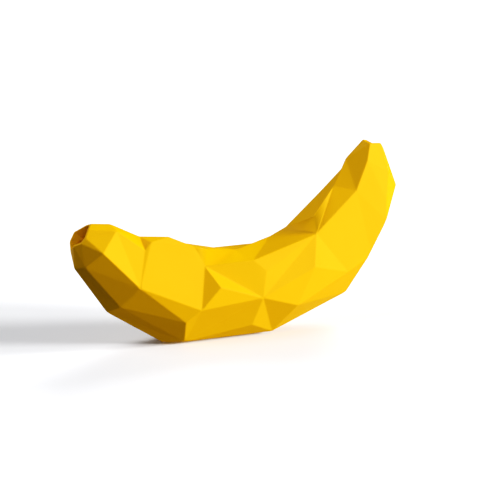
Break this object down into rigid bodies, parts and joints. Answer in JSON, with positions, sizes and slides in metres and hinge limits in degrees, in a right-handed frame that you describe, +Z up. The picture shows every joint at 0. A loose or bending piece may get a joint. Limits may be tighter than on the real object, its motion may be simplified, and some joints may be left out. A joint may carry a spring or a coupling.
{
  "type": "faceted banana chew toy",
  "caption": "Hollow banana-shaped chew toy in one piece of moulded rubber with flat facets, open at both ends so that treats can be pressed in.",
  "frame": {"origin": "in the middle of the sole, on the plane that the toy stands on", "axes": "+X along the length, towards the stem end; -Y towards the side seen first; +Z up from the sole"},
  "size_m": [0.1795, 0.042, 0.0887],
  "materials": {
    "rubber": "satin"
  },
  "bodies": {
    "root": {"shell": "rubber"}
  },
  "joints": []
}
